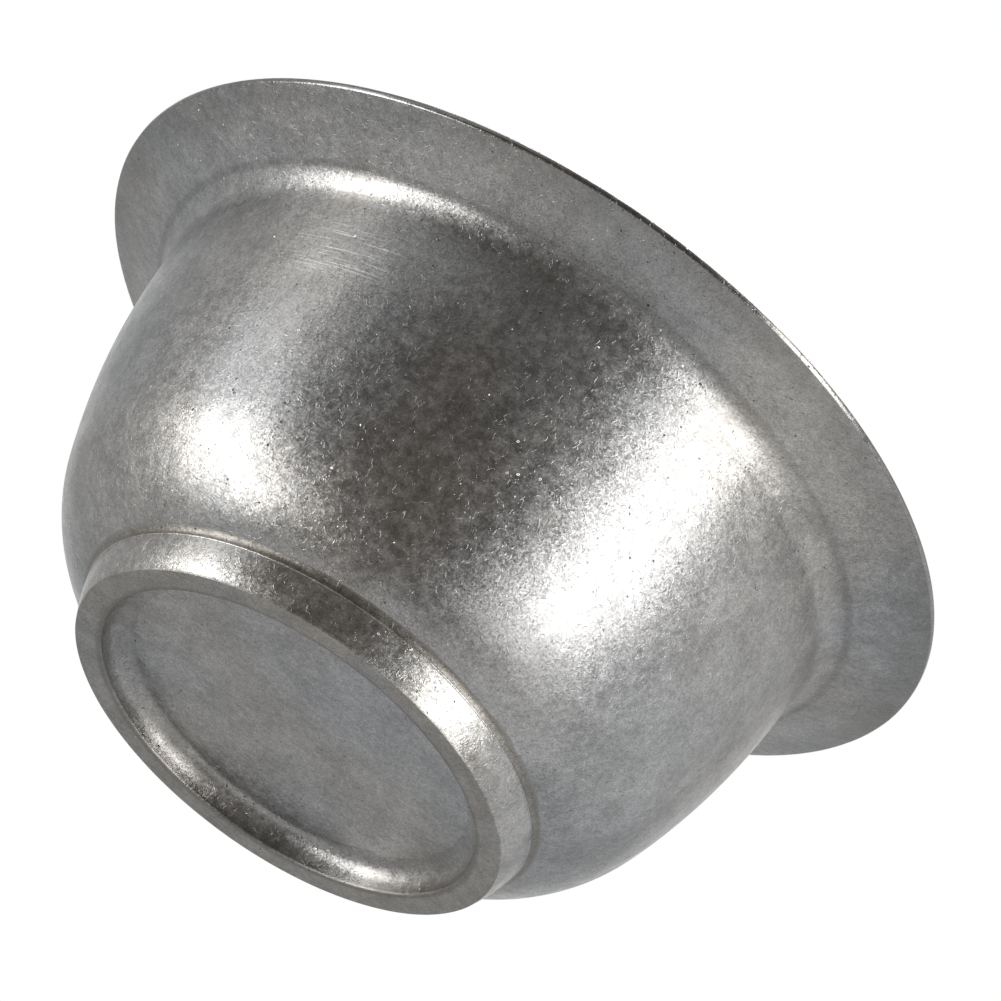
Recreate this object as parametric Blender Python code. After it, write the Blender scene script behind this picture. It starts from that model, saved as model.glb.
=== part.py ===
"""Dipping bowl: a pressed sheet-steel bowl with a flared brim on a brazed foot ring.

The bowl stands on its foot at z = 0, with its axis on Z. Metres, +Z up.
"""
import math

import bmesh
import bpy

MM = 0.001

# Shell
BRIM_RADIUS = 45.0 * MM
TOTAL_HEIGHT = 42.0 * MM
SHEET = 0.75 * MM
BRIM_SLOPE = math.radians(24.0)
BRIM_EDGE_ROUND = 0.2 * MM
BRIM_FILLET = 3.2 * MM
WALL_RADIUS = 36.0 * MM
WALL_CURVE = 65.0 * MM
KNUCKLE_CURVE = 16.0 * MM
FLOOR_RADIUS = 17.4 * MM
FLOOR_CLEARANCE = 2.55 * MM

# Foot ring
RING_OUTER = 23.0 * MM
RING_WALL = 2.7 * MM
RING_FLARE = 1.3 * MM
RING_OUTER_EDGE = 0.28 * MM
RING_INNER_EDGE = 0.35 * MM

# Braze fillets
OUTER_BRAZE = 0.6 * MM
INNER_BRAZE = 1.7 * MM
BRAZE_TOE = 0.12 * MM

# Room left between neighbouring pieces
JOINT_GAP = 0.3 * MM

# Lathe resolution
TURNS = 72
KNUCKLE_STEPS = 12
WALL_STEPS = 8
FILLET_STEPS = 7
ROUND_STEPS = 3
RING_TOP_STEPS = 6
BRAZE_TOP_STEPS = 4
MERGE_DISTANCE = 0.01 * MM
SHARP_ANGLE = math.radians(40.0)

# Radii and centres shared by the shell and by the pieces that fit under it
RING_INNER = RING_OUTER - RING_WALL
RING_SHOULDER = RING_OUTER + RING_FLARE
KNUCKLE_Z = FLOOR_CLEARANCE + KNUCKLE_CURVE
WALL_CENTRE_R = WALL_RADIUS - WALL_CURVE
WALL_CENTRE_Z = KNUCKLE_Z + math.sqrt(
    (WALL_CURVE - KNUCKLE_CURVE) ** 2 - (FLOOR_RADIUS - WALL_CENTRE_R) ** 2)
KNUCKLE_END = math.atan2(KNUCKLE_Z - WALL_CENTRE_Z, FLOOR_RADIUS - WALL_CENTRE_R)
BRIM_CORNER_Z = TOTAL_HEIGHT + BRIM_EDGE_ROUND * (
    (1.0 + math.sin(BRIM_SLOPE)) / math.cos(BRIM_SLOPE) - 1.0)
BRIM_UNDER_Z = BRIM_CORNER_Z - SHEET / math.cos(BRIM_SLOPE)
FILLET_CENTRE_R = WALL_RADIUS + BRIM_FILLET
FILLET_CENTRE_Z = (BRIM_UNDER_Z - (BRIM_RADIUS - FILLET_CENTRE_R) * math.tan(BRIM_SLOPE)
                   - BRIM_FILLET / math.cos(BRIM_SLOPE))


def arc(centre_r, centre_z, radius, start, end, steps):
    """Points on an arc in the (radius, height) plane, both ends included."""
    points = []
    for step in range(steps + 1):
        angle = start + (end - start) * step / steps
        points.append((centre_r + radius * math.cos(angle), centre_z + radius * math.sin(angle)))
    return points


def shell_side(offset):
    """Shell surface from the axis to the brim fillet's end, moved inwards by the offset."""
    side = [(0.0, FLOOR_CLEARANCE + offset)]
    side += arc(FLOOR_RADIUS, KNUCKLE_Z, KNUCKLE_CURVE - offset, -math.pi / 2, KNUCKLE_END,
                KNUCKLE_STEPS)
    side += arc(WALL_CENTRE_R, WALL_CENTRE_Z, WALL_CURVE - offset, KNUCKLE_END, 0.0,
                WALL_STEPS)[1:]
    side += arc(FILLET_CENTRE_R, FILLET_CENTRE_Z, BRIM_FILLET + offset, math.pi,
                math.pi / 2 + BRIM_SLOPE, FILLET_STEPS)
    return side


def underside_z(radius, gap):
    """Height of a surface that stays the gap below the shell's underside at a radius."""
    if radius <= FLOOR_RADIUS:
        return FLOOR_CLEARANCE - gap
    return KNUCKLE_Z - math.sqrt((KNUCKLE_CURVE + gap) ** 2 - (radius - FLOOR_RADIUS) ** 2)


def shell_profile():
    """Closed outline of the shell: underside and outside up to the brim, then down the inside."""
    outside = shell_side(0.0)
    inside = shell_side(SHEET)
    edge_in = BRIM_RADIUS - BRIM_EDGE_ROUND
    lower = BRIM_UNDER_Z + BRIM_EDGE_ROUND / math.cos(BRIM_SLOPE) * (1.0 - math.sin(BRIM_SLOPE))
    upper = TOTAL_HEIGHT - BRIM_EDGE_ROUND
    edge = arc(edge_in, lower, BRIM_EDGE_ROUND, -math.pi / 2 + BRIM_SLOPE, 0.0, ROUND_STEPS)
    edge += arc(edge_in, upper, BRIM_EDGE_ROUND, 0.0, math.pi / 2 + BRIM_SLOPE, ROUND_STEPS)
    return outside + edge + inside[::-1]


def ring_profile():
    """Closed outline of the foot ring: it flares a little up to its top under the shell."""
    profile = arc(RING_INNER + RING_INNER_EDGE, RING_INNER_EDGE, RING_INNER_EDGE,
                  math.pi, 1.5 * math.pi, ROUND_STEPS)
    profile += arc(RING_OUTER - RING_OUTER_EDGE, RING_OUTER_EDGE, RING_OUTER_EDGE,
                   1.5 * math.pi, 2.0 * math.pi, ROUND_STEPS)
    for step in range(RING_TOP_STEPS + 1):
        radius = RING_SHOULDER + (RING_INNER - RING_SHOULDER) * step / RING_TOP_STEPS
        profile.append((radius, underside_z(radius, JOINT_GAP)))
    return profile


def braze_profile(wall, outward, leg):
    """Closed outline of a braze fillet beside a ring wall: two legs and a concave face."""
    near = wall + outward * JOINT_GAP
    far = near + outward * leg
    top_near = underside_z(near, JOINT_GAP)
    top_far = underside_z(far, JOINT_GAP)
    profile = []
    for step in range(BRAZE_TOP_STEPS + 1):
        radius = near + (far - near) * step / BRAZE_TOP_STEPS
        profile.append((radius, underside_z(radius, JOINT_GAP)))
    toe_far = (far, top_far - BRAZE_TOE)
    toe_near = (near + outward * BRAZE_TOE, top_near - leg)
    corner = (near + outward * BRAZE_TOE, top_near - BRAZE_TOE)
    for step in range(FILLET_STEPS + 1):
        t = step / FILLET_STEPS
        profile.append(tuple((1 - t) ** 2 * a + 2 * t * (1 - t) * b + t ** 2 * c
                             for a, b, c in zip(toe_far, corner, toe_near)))
    profile.append((near, top_near - leg))
    return profile


def lathe(name, profile, material):
    """Closed solid of revolution about Z from a closed outline in the (radius, height) plane."""
    mesh = bpy.data.meshes.new(name)
    work = bmesh.new()
    verts = [work.verts.new((radius, 0.0, height)) for radius, height in profile]
    edges = [work.edges.new((verts[i], verts[(i + 1) % len(verts)])) for i in range(len(verts))
             if max(verts[i].co.x, verts[(i + 1) % len(verts)].co.x) > 0.0]
    bmesh.ops.spin(work, geom=verts + edges, cent=(0.0, 0.0, 0.0), axis=(0.0, 0.0, 1.0),
                   angle=2.0 * math.pi, steps=TURNS, use_merge=True)
    bmesh.ops.remove_doubles(work, verts=work.verts[:], dist=MERGE_DISTANCE)
    bmesh.ops.recalc_face_normals(work, faces=work.faces[:])
    work.to_mesh(mesh)
    work.free()
    mesh.shade_smooth()
    mesh.set_sharp_from_angle(angle=SHARP_ANGLE)
    mesh.materials.append(material)
    piece = bpy.data.objects.new(name, mesh)
    bpy.context.scene.collection.objects.link(piece)
    return piece


def metal(name, colour, roughness):
    """Bare metal with a colour and a roughness."""
    material = bpy.data.materials.new(name)
    material.use_nodes = True
    shader = material.node_tree.nodes["Principled BSDF"]
    shader.inputs["Base Color"].default_value = (*colour, 1.0)
    shader.inputs["Metallic"].default_value = 1.0
    shader.inputs["Roughness"].default_value = roughness
    return material


def main():
    for item in list(bpy.data.objects):
        bpy.data.objects.remove(item, do_unlink=True)
    tumbled = metal("tumbled_steel", (0.42, 0.41, 0.40), 0.42)
    ring_steel = metal("ring_steel", (0.43, 0.42, 0.41), 0.48)
    outer_filler = metal("outer_filler_metal", (0.33, 0.31, 0.29), 0.5)
    inner_filler = metal("inner_filler_metal", (0.38, 0.37, 0.36), 0.5)
    lathe("bowl_shell", shell_profile(), tumbled)
    lathe("foot_ring", ring_profile(), ring_steel)
    lathe("outer_braze_fillet", braze_profile(RING_SHOULDER, 1.0, OUTER_BRAZE), outer_filler)
    lathe("inner_braze_fillet", braze_profile(RING_INNER, -1.0, INNER_BRAZE), inner_filler)


main()
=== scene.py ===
"""Dipping bowl in tumbled steel: the looks of its shell, foot ring and two brazed seams."""
import math

import bpy
from mathutils import Matrix, Vector


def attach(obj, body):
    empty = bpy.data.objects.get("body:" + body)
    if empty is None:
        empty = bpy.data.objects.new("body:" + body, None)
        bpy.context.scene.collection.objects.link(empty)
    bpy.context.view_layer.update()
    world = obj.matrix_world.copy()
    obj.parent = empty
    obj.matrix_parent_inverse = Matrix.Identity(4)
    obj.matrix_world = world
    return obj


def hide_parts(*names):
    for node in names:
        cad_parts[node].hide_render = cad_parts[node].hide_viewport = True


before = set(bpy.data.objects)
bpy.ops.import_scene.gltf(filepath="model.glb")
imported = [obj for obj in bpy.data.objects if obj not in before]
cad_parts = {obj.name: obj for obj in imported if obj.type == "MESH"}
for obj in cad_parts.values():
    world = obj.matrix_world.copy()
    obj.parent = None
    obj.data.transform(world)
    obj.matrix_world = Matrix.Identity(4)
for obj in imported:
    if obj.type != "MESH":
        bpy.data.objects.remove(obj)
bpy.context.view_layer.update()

MM = 0.001

# Shell, sized as the solid
BRIM_RADIUS = 45.0 * MM
TOTAL_HEIGHT = 42.0 * MM
SHEET = 0.75 * MM
BRIM_SLOPE = math.radians(24.0)
BRIM_FILLET = 3.2 * MM
WALL_RADIUS = 36.0 * MM
WALL_CURVE = 65.0 * MM
KNUCKLE_CURVE = 16.0 * MM
FLOOR_RADIUS = 17.4 * MM
FLOOR_CLEARANCE = 2.55 * MM

# Cut lip, rounded a little more than the solid's
LOWER_LIP_ROUND = 0.28 * MM
UPPER_LIP_ROUND = 0.3 * MM

# Foot ring, sized as the solid, with crisper edges; its wall is an arc of twice the rounding
RING_OUTER = 23.0 * MM
RING_WALL = 2.7 * MM
RING_FLARE = 1.3 * MM
RING_ROUNDING = math.radians(12.0)
RING_OUTER_EDGE = 0.14 * MM
RING_INNER_EDGE = 0.32 * MM

# Outer edge of the standing face: how far it reaches in, its middle point, and its rise up the wall
EDGE_REACH = 1.6 * RING_OUTER_EDGE
EDGE_MIDDLE_REACH = 0.5 * RING_OUTER_EDGE
EDGE_MIDDLE_RISE = 0.3 * RING_OUTER_EDGE
EDGE_RISE = 2.0 * RING_OUTER_EDGE

# Seams, which reach a little way into the pieces that they join
OUTER_SEAM = 0.6 * MM
BEAD = 0.11 * MM
BEAD_SEAT = 0.3 * BEAD
INNER_SEAM = 2.15 * MM
SEAM_SINK = 0.12 * MM
SEAM_BACK = 3.0 * SEAM_SINK

# Fineness of the outlines and of the turning
RUN_STEP = 0.8 * MM
KNUCKLE_STEPS = 26
WALL_STEPS = 30
FILLET_STEPS = 12
LOWER_LIP_STEPS = 5
UPPER_LIP_STEPS = 7
RING_WALL_STEPS = 12
BEAD_STEPS = 8
EDGE_STEPS = 10
SEAM_STEPS = 10
TURNS = 240
MERGE_DISTANCE = 0.002 * MM
SHARP_DEGREES = 35.0
SEAM_SHARP_DEGREES = 50.0

# Radii and centres that the shell and the pieces under it share
RING_INNER = RING_OUTER - RING_WALL
RING_SHOULDER = RING_OUTER + RING_FLARE
KNUCKLE_Z = FLOOR_CLEARANCE + KNUCKLE_CURVE
WALL_CENTRE_R = WALL_RADIUS - WALL_CURVE
WALL_CENTRE_Z = KNUCKLE_Z + math.sqrt(
    (WALL_CURVE - KNUCKLE_CURVE) ** 2 - (FLOOR_RADIUS - WALL_CENTRE_R) ** 2)
KNUCKLE_END = math.atan2(KNUCKLE_Z - WALL_CENTRE_Z, FLOOR_RADIUS - WALL_CENTRE_R)
BRIM_CORNER_Z = TOTAL_HEIGHT + UPPER_LIP_ROUND * (
    (1.0 + math.sin(BRIM_SLOPE)) / math.cos(BRIM_SLOPE) - 1.0)
BRIM_UNDER_Z = BRIM_CORNER_Z - SHEET / math.cos(BRIM_SLOPE)
FILLET_R = WALL_RADIUS + BRIM_FILLET
FILLET_END_R = FILLET_R - BRIM_FILLET * math.sin(BRIM_SLOPE)
FILLET_Z = (BRIM_UNDER_Z - (BRIM_RADIUS - FILLET_R) * math.tan(BRIM_SLOPE)
            - BRIM_FILLET / math.cos(BRIM_SLOPE))


def arc(centre_r, centre_z, radius, start, end, steps):
    """Points along an arc of the outline, both ends included."""
    points = []
    for step in range(steps + 1):
        angle = start + (end - start) * step / steps
        points.append((centre_r + radius * math.cos(angle), centre_z + radius * math.sin(angle)))
    return points


def straight(start, end, steps):
    """Points along a straight stretch of the outline, without its ends."""
    return [(start[0] + (end[0] - start[0]) * step / steps,
             start[1] + (end[1] - start[1]) * step / steps) for step in range(1, steps)]


def join(*stretches):
    """One outline from stretches, with straight runs cut into short steps between them."""
    outline = list(stretches[0])
    for stretch in stretches[1:]:
        gap = math.dist(outline[-1], stretch[0])
        outline += straight(outline[-1], stretch[0], max(1, round(gap / RUN_STEP)))
        outline += stretch
    return outline


def shell_face(offset):
    """One face of the sheet, from the axis to the brim fillet's end."""
    return join(
        [(0.0, FLOOR_CLEARANCE + offset)],
        arc(FLOOR_RADIUS, KNUCKLE_Z, KNUCKLE_CURVE - offset, -math.pi / 2, KNUCKLE_END, KNUCKLE_STEPS),
        arc(WALL_CENTRE_R, WALL_CENTRE_Z, WALL_CURVE - offset, KNUCKLE_END, 0.0, WALL_STEPS)[1:],
        arc(FILLET_R, FILLET_Z, BRIM_FILLET + offset, math.pi, math.pi / 2 + BRIM_SLOPE, FILLET_STEPS))


def shell_outline():
    """The whole sheet: underside and outside, the cut lip, then down the inside."""
    lower_z = BRIM_UNDER_Z + LOWER_LIP_ROUND * (1.0 / math.cos(BRIM_SLOPE) - math.tan(BRIM_SLOPE))
    lip = arc(BRIM_RADIUS - LOWER_LIP_ROUND, lower_z, LOWER_LIP_ROUND,
              -math.pi / 2 + BRIM_SLOPE, 0.0, LOWER_LIP_STEPS)
    lip += arc(BRIM_RADIUS - UPPER_LIP_ROUND, TOTAL_HEIGHT - UPPER_LIP_ROUND, UPPER_LIP_ROUND,
               0.0, math.pi / 2 + BRIM_SLOPE, UPPER_LIP_STEPS)
    return join(shell_face(0.0), lip, shell_face(SHEET)[::-1])


def underside_z(radius, sink):
    """Height of the shell's underside at a radius, moved up into the sheet by the sink."""
    if radius <= FLOOR_RADIUS:
        return FLOOR_CLEARANCE + sink
    return KNUCKLE_Z - math.sqrt((KNUCKLE_CURVE - sink) ** 2 - (radius - FLOOR_RADIUS) ** 2)


def ring_wall():
    """The ring's rounded outer wall, up to its shoulder: centre, radius and both end angles."""
    foot = Vector((RING_OUTER, 0.0))
    shoulder = Vector((RING_SHOULDER, underside_z(RING_SHOULDER, SEAM_SINK)))
    chord = shoulder - foot
    lean = math.atan2(chord.x, chord.y)
    curve = chord.length / (2.0 * math.sin(RING_ROUNDING))
    centre = (foot + shoulder) / 2.0 - Vector((math.cos(lean), -math.sin(lean))) * (
        curve * math.cos(RING_ROUNDING))
    return centre, curve, -lean - RING_ROUNDING, -lean + RING_ROUNDING


def ring_bead():
    """Small bead around the top of the ring's wall: the angle where it starts, and its points."""
    centre, curve, _, top = ring_wall()
    level = top - (OUTER_SEAM + BEAD) / curve
    outward = Vector((math.cos(level), math.sin(level)))
    along = Vector((-math.sin(level), math.cos(level)))
    middle = centre + outward * (curve - BEAD_SEAT)
    points = []
    for step in range(1, BEAD_STEPS):
        angle = math.pi * step / BEAD_STEPS
        points.append(middle + (outward * math.sin(angle) - along * math.cos(angle)) * BEAD)
    return level - BEAD / curve, points


def ring_outline():
    """The foot ring: inner edge, flat standing face, crisp outer edge, rounded wall, bead and top."""
    centre, curve, foot, _ = ring_wall()
    bead_start, bead = ring_bead()
    inner_edge = arc(RING_INNER + RING_INNER_EDGE, RING_INNER_EDGE, RING_INNER_EDGE,
                     math.pi, 1.5 * math.pi, EDGE_STEPS)
    wall = arc(centre.x, centre.y, curve, foot + EDGE_RISE / curve, bead_start, RING_WALL_STEPS)
    wall_foot = wall[0][0]
    outer_edge = [(wall_foot - EDGE_REACH, 0.0), (wall_foot - EDGE_MIDDLE_REACH, EDGE_MIDDLE_RISE)]
    return join(
        inner_edge,
        outer_edge + wall + [tuple(point) for point in bead],
        [(RING_SHOULDER, underside_z(RING_SHOULDER, SEAM_SINK))],
        [(RING_INNER, underside_z(RING_INNER, SEAM_SINK))],
        [(RING_INNER, RING_INNER_EDGE)])


def outer_seam_outline():
    """Dark filler in the corner above the ring's bead: a hollow that runs out on the belly."""
    start = ring_bead()[1][-2]
    run_r = RING_SHOULDER + OUTER_SEAM
    run = Vector((run_r, underside_z(run_r, 0.0)))
    corner = Vector((start.x, underside_z(start.x, 0.0)))
    hollow = []
    for step in range(SEAM_STEPS + 1):
        s = step / SEAM_STEPS
        hollow.append(start * (1.0 - s) ** 2 + corner * (2.0 * s * (1.0 - s)) + run * s ** 2)
    inward = (Vector((FLOOR_RADIUS, KNUCKLE_Z)) - run).normalized() * SEAM_SINK
    back_r = RING_SHOULDER - SEAM_BACK
    back = [run + inward, Vector((back_r, underside_z(back_r, SEAM_SINK))),
            start - Vector((SEAM_BACK, 0.0)), start]
    return [tuple(point) for point in hollow + back]


def inner_seam_outline():
    """Concave filler between the ring's inner wall and the raised floor."""
    centre_r = RING_INNER - INNER_SEAM
    if centre_r <= FLOOR_RADIUS:
        centre_z = FLOOR_CLEARANCE - INNER_SEAM
    else:
        centre_z = KNUCKLE_Z - math.sqrt((KNUCKLE_CURVE + INNER_SEAM) ** 2
                                         - (centre_r - FLOOR_RADIUS) ** 2)
    touch = math.atan2(KNUCKLE_Z - centre_z, FLOOR_RADIUS - centre_r)
    face = arc(centre_r, centre_z, INNER_SEAM, touch, 0.0, SEAM_STEPS)
    back_r = RING_INNER + SEAM_SINK
    return face + [(back_r, face[-1][1]), (back_r, underside_z(back_r, SEAM_SINK)),
                   (face[0][0], face[0][1] + SEAM_SINK), face[0]]


def turn(name, outline, sharp_degrees):
    """Turns an outline about the bowl's axis: a point drawn out along it, then spun."""
    bpy.ops.object.select_all(action="DESELECT")
    bpy.ops.mesh.primitive_plane_add(size=MM, location=(0.0, 0.0, 0.0))
    piece = bpy.context.object
    piece.name = name
    piece.data.name = name
    bpy.ops.object.mode_set(mode="EDIT")
    bpy.ops.mesh.select_all(action="SELECT")
    bpy.ops.mesh.merge(type="CENTER")
    bpy.ops.transform.translate(value=(outline[0][0], 0.0, outline[0][1]))
    for start, end in zip(outline, outline[1:]):
        step = (end[0] - start[0], 0.0, end[1] - start[1])
        bpy.ops.mesh.extrude_vertices_move(TRANSFORM_OT_translate={"value": step})
    bpy.ops.mesh.select_all(action="SELECT")
    bpy.ops.mesh.spin(steps=TURNS, angle=2.0 * math.pi, center=(0.0, 0.0, 0.0), axis=(0.0, 0.0, 1.0))
    bpy.ops.mesh.select_all(action="SELECT")
    bpy.ops.mesh.remove_doubles(threshold=MERGE_DISTANCE)
    bpy.ops.mesh.normals_make_consistent(inside=False)
    bpy.ops.object.mode_set(mode="OBJECT")
    bpy.ops.object.shade_smooth_by_angle(angle=math.radians(sharp_degrees))
    return piece


def unevenness(piece, size, height):
    """Slight hand-finished waviness of a surface, applied to its mesh."""
    clouds = bpy.data.textures.new(piece.name + "_waves", type="CLOUDS")
    clouds.noise_scale = size
    clouds.noise_depth = 1
    waves = piece.modifiers.new("waves", "DISPLACE")
    waves.texture = clouds
    waves.texture_coords = "LOCAL"
    waves.strength = height
    waves.mid_level = 0.5
    bpy.ops.object.select_all(action="DESELECT")
    piece.select_set(True)
    bpy.context.view_layer.objects.active = piece
    bpy.ops.object.modifier_apply(modifier=waves.name)


# Range that most of a noise lies in
USUAL_NOISE = (0.3, 0.7)


class Finish:
    """A node material, written as short calls."""

    def __init__(self, name):
        self.material = bpy.data.materials.new(name)
        self.material.use_nodes = True
        self.tree = self.material.node_tree
        self.shader = self.tree.nodes["Principled BSDF"]
        coordinates = self.add("ShaderNodeTexCoord")
        self.place = coordinates.outputs["Object"]

    def add(self, kind, **settings):
        node = self.tree.nodes.new(kind)
        for key, value in settings.items():
            setattr(node, key, value)
        return node

    def feed(self, socket, value):
        """Links another node's output to a socket, or sets the socket to a number."""
        if isinstance(value, bpy.types.NodeSocket):
            self.tree.links.new(value, socket)
        else:
            socket.default_value = value

    def noise(self, scale, detail=2.0, rough=0.5, place=None, distortion=0.0):
        node = self.add("ShaderNodeTexNoise")
        self.feed(node.inputs["Vector"], place or self.place)
        self.feed(node.inputs["Scale"], scale)
        self.feed(node.inputs["Detail"], detail)
        self.feed(node.inputs["Roughness"], rough)
        self.feed(node.inputs["Distortion"], distortion)
        return node.outputs["Fac"]

    def cells(self, scale, place):
        """A cell's distance from its middle, and its random colour."""
        node = self.add("ShaderNodeTexVoronoi")
        self.feed(node.inputs["Vector"], place)
        self.feed(node.inputs["Scale"], scale)
        return node.outputs["Distance"], node.outputs["Color"]

    def ramp(self, value, low, high, out_low=0.0, out_high=1.0, smooth=True):
        node = self.add("ShaderNodeMapRange", clamp=True)
        if smooth:
            node.interpolation_type = "SMOOTHSTEP"
        self.feed(node.inputs["Value"], value)
        self.feed(node.inputs["From Min"], low)
        self.feed(node.inputs["From Max"], high)
        self.feed(node.inputs["To Min"], out_low)
        self.feed(node.inputs["To Max"], out_high)
        return node.outputs["Result"]

    def spread(self, noise, least, most):
        """A noise's usual range spread over two values."""
        return self.ramp(noise, *USUAL_NOISE, least, most)

    def math(self, operation, first, second=0.0):
        node = self.add("ShaderNodeMath", operation=operation)
        self.feed(node.inputs[0], first)
        self.feed(node.inputs[1], second)
        return node.outputs[0]

    def times(self, first, second):
        return self.math("MULTIPLY", first, second)

    def distance(self, value, place):
        """How far a value is from a place, either way."""
        return self.math("ABSOLUTE", self.math("SUBTRACT", value, place))

    def mix(self, factor, first, second, blend="MIX"):
        node = self.add("ShaderNodeMix", data_type="RGBA", blend_type=blend)
        self.feed(node.inputs["Factor"], factor)
        self.feed(node.inputs["A"], first)
        self.feed(node.inputs["B"], second)
        return node.outputs["Result"]

    def bump(self, height, distance):
        node = self.add("ShaderNodeBump")
        self.feed(node.inputs["Height"], height)
        self.feed(node.inputs["Distance"], distance)
        return node.outputs["Normal"]

    def vector(self, operation, first, second=None, scale=None):
        node = self.add("ShaderNodeVectorMath", operation=operation)
        self.feed(node.inputs[0], first)
        if second is not None:
            self.feed(node.inputs[1], second)
        if scale is not None:
            self.feed(node.inputs["Scale"], scale)
        return node.outputs["Value" if operation == "LENGTH" else "Vector"]

    def warped(self, scale, reach):
        """Places pushed about by a noise, so that cells on them lose their straight sides."""
        node = self.add("ShaderNodeTexNoise")
        self.feed(node.inputs["Vector"], self.place)
        self.feed(node.inputs["Scale"], scale)
        push = self.vector("SUBTRACT", node.outputs["Color"], (0.5, 0.5, 0.5))
        return self.vector("ADD", self.place, self.vector("SCALE", push, scale=2.0 * reach))

    def axes(self):
        """X, Y and Z of a place on the bowl."""
        node = self.add("ShaderNodeSeparateXYZ")
        self.feed(node.inputs["Vector"], self.place)
        return node.outputs["X"], node.outputs["Y"], node.outputs["Z"]

    def radius(self):
        """Distance from the bowl's axis."""
        return self.vector("LENGTH", self.vector("MULTIPLY", self.place, (1.0, 1.0, 0.0)))

    def height(self):
        """Height above the floor."""
        return self.axes()[2]

    def around(self):
        """Angle around the axis, from the far side clockwise, -1 to 1 for half a turn each way."""
        x, y, _ = self.axes()
        return self.math("DIVIDE", self.math("ARCTAN2", x, y), math.pi)

    def tilted(self, normal, random_colour, amount):
        """A normal leaned at random, one way for each cell."""
        lean = self.vector("SUBTRACT", random_colour, (0.5, 0.5, 0.5))
        leaned = self.vector("ADD", normal, self.vector("SCALE", lean, scale=amount))
        return self.vector("NORMALIZE", leaned)


# Marks of the tumbled finish: how many fit in a metre
TONE_DRIFTS = 45.0
BLOTCHES = 260.0
MOTTLES = 1500.0
GRAINS = 5200.0
FACETS = 6000.0
SPOTS = 1100.0
SPOT_WARPS = 1200.0
PITTED_AREAS = 260.0
SCRATCHES = 800.0
SCRATCH_BREAKS = 1400.0
ROUGH_AREAS = 750.0
WAVES = 140.0
DENTS = 800.0

# Depth of the marks in the surface
WAVE_DEPTH = 0.06 * MM
DENT_DEPTH = 0.02 * MM
GRAIN_DEPTH = 0.009 * MM
PIT_DEPTH = 0.02 * MM
SCRATCH_DEPTH = 0.011 * MM
SPOT_WARP = 0.25 * MM

# Tones that the marks give, from dark to light, and the roughness that they add
WARM_SHIFT = (1.015, 0.99, 0.96)
COOL_SHIFT = (0.985, 0.998, 1.02)
BLOTCH_TONES = (0.86, 1.12)
MOTTLE_TONES = (0.88, 1.12)
GRAIN_TONES = (0.74, 1.28)
ADDED_ROUGHNESS = (-0.05, 0.06)

# Edges of the marks in their patterns' own values, from outside a mark to well inside it
TONE_DRIFT_EDGE = (0.35, 0.65)
GRAIN_EDGE = (0.28, 0.72)
SPOT_EDGE = (0.17, 0.06)
PITTED_EDGE = (0.45, 0.6)
SCRATCH_MIDDLE = 0.5
SCRATCH_EDGE = (0.034, 0.01)
SCRATCH_BREAK_EDGE = (0.52, 0.58)
SCRATCH_BEND = 0.6
RUBBED_LINE_EDGE = (0.55, 0.63)

# How far facets and glinting spots lean
FACET_TILT = 0.1
LIP_FACET_TILT = 0.03
GLINT_TILT = 1.3

# Random colours shorter than the first make a spot a pit, longer than the second a glint
PIT_CHANCE = 0.75
GLINT_CHANCE = 1.06

# Wear and painted shade, from where each starts to where it is full: painted shade and polish in from
# the lip, painted shade on both sides of the crease under the brim and out from the ring's bore, wear
# up from the standing face, and out over the seam's end
PAINTED_LIP_SHADE = (4.5 * MM, 0.8 * MM)
POLISHED_LIP = (0.25 * MM, 0.1 * MM)
PAINTED_CREASE_SHADE = (0.6 * MM, 0.1 * MM)
PAINTED_BORE_SHADE = (0.75 * MM, 0.25 * MM)
STANDING_FACE = (0.3 * MM, 0.06 * MM)
RUN_OUT = (0.15 * MM, OUTER_SEAM)

# How much of it shows
PIT_SHARE = 0.6
PAINTED_LIP_SHADE_SHARE = 0.4
PAINTED_CREASE_SHADE_SHARE = 0.3
PAINTED_BORE_SHADE_SHARE = 0.5
LIP_SMOOTHNESS = 0.12
STANDING_ROUGHNESS = 0.14

# Rubbed patch below the brim: place, height, reach each way, and its lines per half turn and per metre
RUBBED_AROUND = -0.785
RUBBED_HEIGHT = 30.2 * MM
RUBBED_SIDEWAYS = (0.07, 0.02)
RUBBED_UPWARD = (3.8 * MM, 1.2 * MM)
RUBBED_LINES_AROUND = 19.0
RUBBED_LINES_UP = 5200.0

# Tones of pitted and worn metal, of painted shade at the lip, in the crease and along the bore, and of
# rubbed lines painted lighter as a painted highlight
PIT_TONE = (0.09, 0.085, 0.08, 1.0)
PAINTED_LIP_SHADE_TONE = (0.2, 0.196, 0.19, 1.0)
PAINTED_CREASE_SHADE_TONE = (0.16, 0.158, 0.155, 1.0)
RUBBED_HIGHLIGHT_TONE = (0.8, 0.796, 0.79, 1.0)
RUN_OUT_TONE = (0.36, 0.356, 0.35, 1.0)
PAINTED_BORE_SHADE_TONE = (0.2, 0.195, 0.185, 1.0)
STANDING_SHADE = (0.78, 0.77, 0.75, 1.0)


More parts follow.
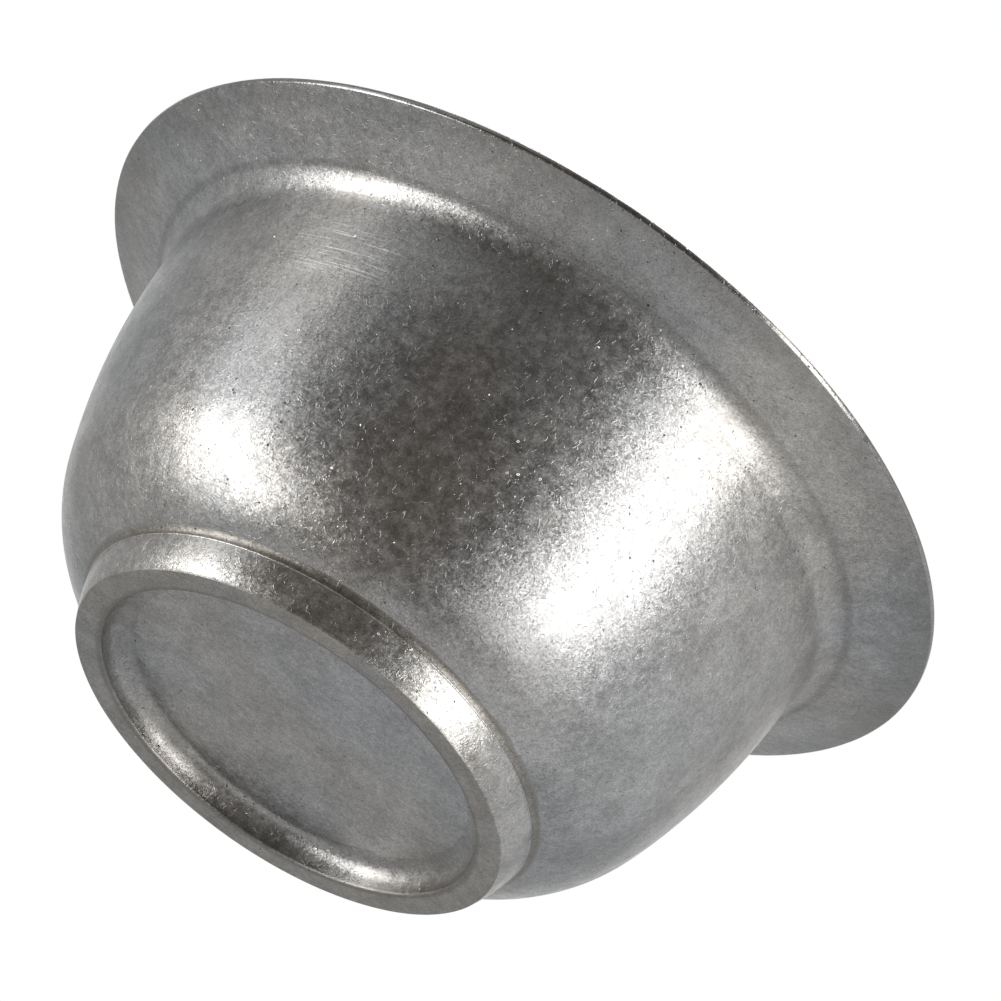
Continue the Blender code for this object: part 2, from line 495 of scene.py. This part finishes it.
class Tumbled(Finish):
    """Steel tumbled with stones: fine grain, tiny facets that glint, short scratches, dark pits."""

    def __init__(self, name, colour, roughness):
        super().__init__(name)
        self.facet_tilt = FACET_TILT
        self.grain = self.noise(GRAINS, rough=0.6)
        self.tone = self.mottled(colour)
        self.add_spots()
        self.scratches = self.short_scratches()
        smoothest, roughest = (roughness + added for added in ADDED_ROUGHNESS)
        self.rough = self.spread(self.noise(ROUGH_AREAS, detail=3.0, rough=0.6), smoothest, roughest)

    def mottled(self, colour):
        """The metal's colour, drifting from warm to cool, with blotches, mottles and grain."""
        warm = (*(part * shift for part, shift in zip(colour, WARM_SHIFT)), 1.0)
        cool = (*(part * shift for part, shift in zip(colour, COOL_SHIFT)), 1.0)
        drift = self.ramp(self.noise(TONE_DRIFTS, detail=3.0), *TONE_DRIFT_EDGE)
        tone = self.mix(drift, warm, cool)
        blotches = self.spread(self.noise(BLOTCHES, detail=5.0, rough=0.65), *BLOTCH_TONES)
        grain = self.ramp(self.grain, *GRAIN_EDGE, *GRAIN_TONES, smooth=False)
        mottles = self.spread(self.noise(MOTTLES, detail=3.0, rough=0.7), *MOTTLE_TONES)
        return self.mix(1.0, tone, self.times(blotches, self.times(grain, mottles)), blend="MULTIPLY")

    def add_spots(self):
        """Small round spots: some are dark pits, some lean far enough to glint."""
        self.warp = self.warped(SPOT_WARPS, SPOT_WARP)
        spot_distance, self.spot_colour = self.cells(SPOTS, self.warp)
        spots = self.ramp(spot_distance, *SPOT_EDGE)
        chance = self.vector("LENGTH", self.spot_colour)
        pitted = self.ramp(self.noise(PITTED_AREAS), *PITTED_EDGE)
        self.pits = self.times(spots, self.times(self.math("LESS_THAN", chance, PIT_CHANCE), pitted))
        self.glints = self.times(spots, self.math("GREATER_THAN", chance, GLINT_CHANCE))
        self.tint(self.times(self.pits, PIT_SHARE), PIT_TONE)

    def short_scratches(self):
        """Thin curved lines, broken into short lengths."""
        contour = self.distance(self.noise(SCRATCHES, distortion=SCRATCH_BEND), SCRATCH_MIDDLE)
        lengths = self.ramp(self.noise(SCRATCH_BREAKS), *SCRATCH_BREAK_EDGE)
        return self.times(self.ramp(contour, *SCRATCH_EDGE), lengths)

    def tint(self, share, tone):
        """Moves the metal's tone towards another one by a share."""
        self.tone = self.mix(share, self.tone, tone)

    def wear_and_painted_shade_on_shell(self):
        """Painted shade towards the lip, polished on it, painted shade in the brim's crease, and a
        rubbed patch whose lines are painted lighter as a painted highlight.
        """
        radius = self.radius()
        # Painted shade: the tone darkens towards the lip
        lip_shade = self.ramp(radius, *(BRIM_RADIUS - reach for reach in PAINTED_LIP_SHADE))
        self.tint(self.times(lip_shade, PAINTED_LIP_SHADE_SHARE), PAINTED_LIP_SHADE_TONE)
        polish = self.ramp(radius, *(BRIM_RADIUS - reach for reach in POLISHED_LIP))
        self.rough = self.math("SUBTRACT", self.rough, self.times(polish, LIP_SMOOTHNESS))
        self.facet_tilt = self.ramp(polish, 0.0, 1.0, FACET_TILT, LIP_FACET_TILT)
        # Painted shade: darker on both sides of the crease under the brim
        crease_shade = self.ramp(self.distance(radius, FILLET_END_R), *PAINTED_CREASE_SHADE)
        self.tint(self.times(crease_shade, PAINTED_CREASE_SHADE_SHARE), PAINTED_CREASE_SHADE_TONE)
        # Real rubbed scratches, painted lighter as a painted highlight
        self.tint(self.rubbed_lines_painted_light(), RUBBED_HIGHLIGHT_TONE)

    def rubbed_lines_painted_light(self):
        """Mask of fine scratches around the bowl in one patch below the brim, where it was rubbed; the
        lines are painted lighter as a painted highlight.
        """
        turn_around = self.around()
        rise = self.height()
        line_place = self.add("ShaderNodeCombineXYZ")
        self.feed(line_place.inputs["X"], self.times(turn_around, RUBBED_LINES_AROUND))
        self.feed(line_place.inputs["Y"], self.times(rise, RUBBED_LINES_UP))
        line_noise = self.noise(1.0, rough=0.6, place=line_place.outputs["Vector"])
        lines = self.ramp(line_noise, *RUBBED_LINE_EDGE)
        sideways = self.ramp(self.distance(turn_around, RUBBED_AROUND), *RUBBED_SIDEWAYS)
        upward = self.ramp(self.distance(rise, RUBBED_HEIGHT), *RUBBED_UPWARD)
        return self.times(lines, self.times(sideways, upward))

    def wear_seam(self):
        """Filler that takes the belly's tone where it runs out."""
        run_out = self.ramp(self.radius(), *(RING_SHOULDER + reach for reach in RUN_OUT))
        self.tint(run_out, RUN_OUT_TONE)

    def wear_and_painted_shade_on_foot(self):
        """Painted shade along the edge of the bore; duller and rougher on the standing face."""
        # Painted shade: darker along the edge of the bore, where the recess begins
        bore_shade = self.ramp(self.radius(), *(RING_INNER + reach for reach in PAINTED_BORE_SHADE))
        self.tint(self.times(bore_shade, PAINTED_BORE_SHADE_SHARE), PAINTED_BORE_SHADE_TONE)
        standing = self.ramp(self.height(), *STANDING_FACE)
        self.tone = self.mix(standing, self.tone, STANDING_SHADE, blend="MULTIPLY")
        self.rough = self.math("ADD", self.rough, self.times(standing, STANDING_ROUGHNESS))

    def relief(self):
        """The surface's own small shape: waves, dents, grain, pits, scratches and leaning facets."""
        waves = self.times(self.noise(WAVES, detail=1.0), WAVE_DEPTH)
        dents = self.times(self.noise(DENTS), DENT_DEPTH)
        grain = self.times(self.grain, GRAIN_DEPTH)
        pits = self.times(self.pits, -PIT_DEPTH)
        scratches = self.times(self.scratches, SCRATCH_DEPTH)
        height = self.math("ADD", self.math("ADD", waves, dents), self.math("ADD", grain, pits))
        normal = self.bump(self.math("ADD", height, scratches), 1.0)
        normal = self.tilted(normal, self.cells(FACETS, self.warp)[1], self.facet_tilt)
        return self.tilted(normal, self.spot_colour, self.times(self.glints, GLINT_TILT))

    def finished(self):
        """The material, with everything led to its shader."""
        self.feed(self.shader.inputs["Base Color"], self.tone)
        self.feed(self.shader.inputs["Roughness"], self.rough)
        self.shader.inputs["Metallic"].default_value = 1.0
        self.feed(self.shader.inputs["Normal"], self.relief())
        return self.material


def shell_steel():
    finish = Tumbled("shell_steel", (0.42, 0.418, 0.415), 0.35)
    finish.wear_and_painted_shade_on_shell()
    return finish.finished()


def foot_steel():
    finish = Tumbled("foot_steel", (0.45, 0.444, 0.434), 0.34)
    finish.wear_and_painted_shade_on_foot()
    return finish.finished()


def outer_seam_metal():
    finish = Tumbled("outer_seam_metal", (0.26, 0.249, 0.23), 0.42)
    finish.wear_seam()
    return finish.finished()


def inner_seam_metal():
    return Tumbled("inner_seam_metal", (0.35, 0.345, 0.338), 0.36).finished()


def put_on(piece, material, node):
    """A finished piece: its material, its CAD node and the body that carries it."""
    piece.data.materials.clear()
    piece.data.materials.append(material)
    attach(piece, "root")
    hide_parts(node)


def build_bowl():
    shell = turn("bowl_body", shell_outline(), SHARP_DEGREES)
    unevenness(shell, 9.0 * MM, 0.05 * MM)
    ring = turn("standing_ring", ring_outline(), SHARP_DEGREES)
    unevenness(ring, 6.0 * MM, 0.03 * MM)
    outer_seam = turn("outer_seam", outer_seam_outline(), SEAM_SHARP_DEGREES)
    unevenness(outer_seam, 3.0 * MM, 0.015 * MM)
    inner_seam = turn("inner_seam", inner_seam_outline(), SEAM_SHARP_DEGREES)
    put_on(shell, shell_steel(), "bowl_shell")
    put_on(ring, foot_steel(), "foot_ring")
    put_on(outer_seam, outer_seam_metal(), "outer_braze_fillet")
    put_on(inner_seam, inner_seam_metal(), "inner_braze_fillet")


# Camera, as the photograph was taken: from below the foot, rolled over
CAMERA_DISTANCE = 0.8306
CAMERA_AIM = Vector((0.00274, -0.01377, 0.02650))
CAMERA_ELEVATION = math.radians(-28.49)
CAMERA_TURN = math.radians(0.215)
CAMERA_ROLL = math.radians(35.96)
FOCAL_PIXELS = 9000.0
IMAGE_SIZE = 1001.0
SENSOR = 36.0
NEAREST = 0.01
FARTHEST = 50.0


def direction(turn_degrees, rise_degrees):
    """Unit vector from the bowl, turned clockwise from the far side as seen from above."""
    turn_angle = math.radians(turn_degrees)
    rise = math.radians(rise_degrees)
    return Vector((math.sin(turn_angle) * math.cos(rise), math.cos(turn_angle) * math.cos(rise),
                   math.sin(rise)))


def line_of_sight():
    """Unit vector from the camera to the bowl."""
    return Vector((math.sin(CAMERA_TURN) * math.cos(CAMERA_ELEVATION),
                   math.cos(CAMERA_TURN) * math.cos(CAMERA_ELEVATION),
                   -math.sin(CAMERA_ELEVATION)))


def stand(thing, place, right, up, back):
    """Puts a camera or a lamp in the scene at a place, turned to face away from its back."""
    bpy.context.scene.collection.objects.link(thing)
    turn_matrix = Matrix((right, up, back)).transposed()
    thing.matrix_world = Matrix.Translation(place) @ turn_matrix.to_4x4()


def place_camera():
    data = bpy.data.cameras.new("camera")
    data.sensor_width = SENSOR
    data.sensor_fit = "HORIZONTAL"
    data.lens = FOCAL_PIXELS / IMAGE_SIZE * SENSOR
    data.clip_start = NEAREST
    data.clip_end = FARTHEST
    camera = bpy.data.objects.new("camera", data)
    forward = line_of_sight()
    right = forward.cross(Vector((0.0, 0.0, 1.0))).normalized()
    up = right.cross(forward)
    rolled_right = right * math.cos(CAMERA_ROLL) + up * math.sin(CAMERA_ROLL)
    rolled_up = up * math.cos(CAMERA_ROLL) - right * math.sin(CAMERA_ROLL)
    stand(camera, CAMERA_AIM - forward * CAMERA_DISTANCE, rolled_right, rolled_up, -forward)
    bpy.context.scene.camera = camera


# Studio lights: turn and rise in degrees, distance, width and height in metres, watts, tilt in degrees
SOFTBOXES = (
    ("left_softbox", -99.0, -30.0, 0.7, 0.3, 0.6, 2.85, -4.0),
    ("left_strip", -102.0, 8.0, 0.7, 0.2, 0.5, 0.36, 0.0),
    ("right_softbox", 134.0, 3.0, 0.7, 0.3, 0.92, 4.0, 0.0),
    ("right_low_softbox", 127.0, -40.0, 0.7, 0.4, 0.36, 0.62, 0.0),
    ("right_fill", 75.0, 4.0, 1.0, 1.0, 1.2, 0.9, 0.0),
    ("right_low_fill", 105.0, -55.0, 0.8, 0.8, 0.4, 0.26, 0.0),
    ("low_fill", 35.0, -74.0, 1.0, 0.8, 0.8, 0.68, 0.0),
    ("top_softbox", 0.0, 88.0, 1.2, 0.9, 0.9, 10.0, 0.0))
SOFTBOX_COLOUR = (1.0, 0.987, 0.962)
SOFTBOX_TARGET = Vector((0.0, 0.0, 0.02))


def softbox(name, turn_degrees, rise_degrees, distance, width, height, power, tilt):
    """A rectangular studio light that faces the bowl and is not seen by the camera."""
    data = bpy.data.lights.new(name, "AREA")
    data.shape = "RECTANGLE"
    data.size = width
    data.size_y = height
    data.energy = power
    data.color = SOFTBOX_COLOUR
    lamp = bpy.data.objects.new(name, data)
    away = direction(turn_degrees, rise_degrees)
    side = Vector((0.0, 0.0, 1.0)).cross(away).normalized()
    up = away.cross(side)
    tilt_angle = math.radians(tilt)
    across = side * math.cos(tilt_angle) + up * math.sin(tilt_angle)
    along = up * math.cos(tilt_angle) - side * math.sin(tilt_angle)
    stand(lamp, SOFTBOX_TARGET + away * distance, across, along, away)
    lamp.visible_camera = False


# Room light along the line of sight, from the camera's side (-1) to the backdrop (1): level and warmth
ROOM_LEVELS = ((-0.65, 0.1, 1.1), (-0.5, 0.1, 1.07), (-0.38, 0.26, 1.0), (-0.25, 0.49, 0.99),
               (0.0, 0.46, 0.99), (0.3, 0.44, 0.99), (0.8, 0.48, 0.99))
BACKDROP_EDGE = 0.86
BACKDROP_FULL = 0.96


def room():
    """White backdrop behind the bowl, soft grey at the sides, darker on the camera's side."""
    world = bpy.data.worlds.new("room")
    bpy.context.scene.world = world
    world.use_nodes = True
    tree = world.node_tree
    tree.nodes.clear()
    link = tree.links.new
    place = tree.nodes.new("ShaderNodeTexCoord")
    facing = tree.nodes.new("ShaderNodeVectorMath")
    facing.operation = "DOT_PRODUCT"
    facing.inputs[1].default_value = line_of_sight()
    link(place.outputs["Generated"], facing.inputs[0])
    spread = tree.nodes.new("ShaderNodeMapRange")
    spread.inputs["From Min"].default_value = -1.0
    link(facing.outputs["Value"], spread.inputs["Value"])
    shade = tree.nodes.new("ShaderNodeValToRGB")
    link(spread.outputs["Result"], shade.inputs["Fac"])
    stops = shade.color_ramp.elements
    for index, (facing_level, level, warmth) in enumerate(ROOM_LEVELS):
        position = (facing_level + 1.0) / 2.0
        stop = stops[index] if index < 2 else stops.new(position)
        stop.position = position
        stop.color = (level * warmth, level, level / warmth, 1.0)
    walls = tree.nodes.new("ShaderNodeBackground")
    link(shade.outputs["Color"], walls.inputs["Color"])

    path = tree.nodes.new("ShaderNodeLightPath")
    mirrored = tree.nodes.new("ShaderNodeMath")
    mirrored.operation = "MAXIMUM"
    link(path.outputs["Is Glossy Ray"], mirrored.inputs[0])
    link(path.outputs["Is Transmission Ray"], mirrored.inputs[1])
    behind = tree.nodes.new("ShaderNodeMapRange")
    behind.interpolation_type = "SMOOTHSTEP"
    behind.inputs["From Min"].default_value = BACKDROP_EDGE
    behind.inputs["From Max"].default_value = BACKDROP_FULL
    link(facing.outputs["Value"], behind.inputs["Value"])
    shown = tree.nodes.new("ShaderNodeMath")
    shown.operation = "MULTIPLY_ADD"
    shown.use_clamp = True
    link(mirrored.outputs[0], shown.inputs[0])
    link(behind.outputs["Result"], shown.inputs[1])
    link(path.outputs["Is Camera Ray"], shown.inputs[2])
    backdrop = tree.nodes.new("ShaderNodeBackground")
    backdrop.inputs["Color"].default_value = (1.0, 1.0, 1.0, 1.0)
    mix = tree.nodes.new("ShaderNodeMixShader")
    link(shown.outputs[0], mix.inputs["Fac"])
    link(walls.outputs[0], mix.inputs[1])
    link(backdrop.outputs[0], mix.inputs[2])
    output = tree.nodes.new("ShaderNodeOutputWorld")
    link(mix.outputs[0], output.inputs["Surface"])


FLOOR_SIZE = 4.0
FLOOR_DROP = 0.2 * MM
FLOOR_TONE = (0.86, 0.86, 0.86, 1.0)


def floor():
    """Pale floor that shows from above with the bowl's shadow, and is open from below."""
    bpy.ops.object.select_all(action="DESELECT")
    bpy.ops.mesh.primitive_plane_add(size=FLOOR_SIZE, location=(0.0, 0.0, -FLOOR_DROP))
    plane = bpy.context.object
    plane.name = "studio_floor"
    material = bpy.data.materials.new("pale_floor")
    material.use_nodes = True
    tree = material.node_tree
    tree.nodes.clear()
    link = tree.links.new
    output = tree.nodes.new("ShaderNodeOutputMaterial")
    pale = tree.nodes.new("ShaderNodeBsdfDiffuse")
    pale.inputs["Color"].default_value = FLOOR_TONE
    clear = tree.nodes.new("ShaderNodeBsdfTransparent")
    mix = tree.nodes.new("ShaderNodeMixShader")
    path = tree.nodes.new("ShaderNodeLightPath")
    geometry = tree.nodes.new("ShaderNodeNewGeometry")
    below = tree.nodes.new("ShaderNodeMath")
    below.operation = "MAXIMUM"
    link(geometry.outputs["Backfacing"], below.inputs[0])
    link(path.outputs["Is Shadow Ray"], below.inputs[1])
    passing = tree.nodes.new("ShaderNodeMath")
    passing.operation = "MAXIMUM"
    link(below.outputs[0], passing.inputs[0])
    link(path.outputs["Is Glossy Ray"], passing.inputs[1])
    link(passing.outputs[0], mix.inputs["Fac"])
    link(pale.outputs[0], mix.inputs[1])
    link(clear.outputs[0], mix.inputs[2])
    link(mix.outputs[0], output.inputs["Surface"])
    plane.data.materials.append(material)


def light_studio():
    room()
    floor()
    for light in SOFTBOXES:
        softbox(*light)


build_bowl()
place_camera()
light_studio()

bpy.context.scene.view_settings.view_transform = "Standard"
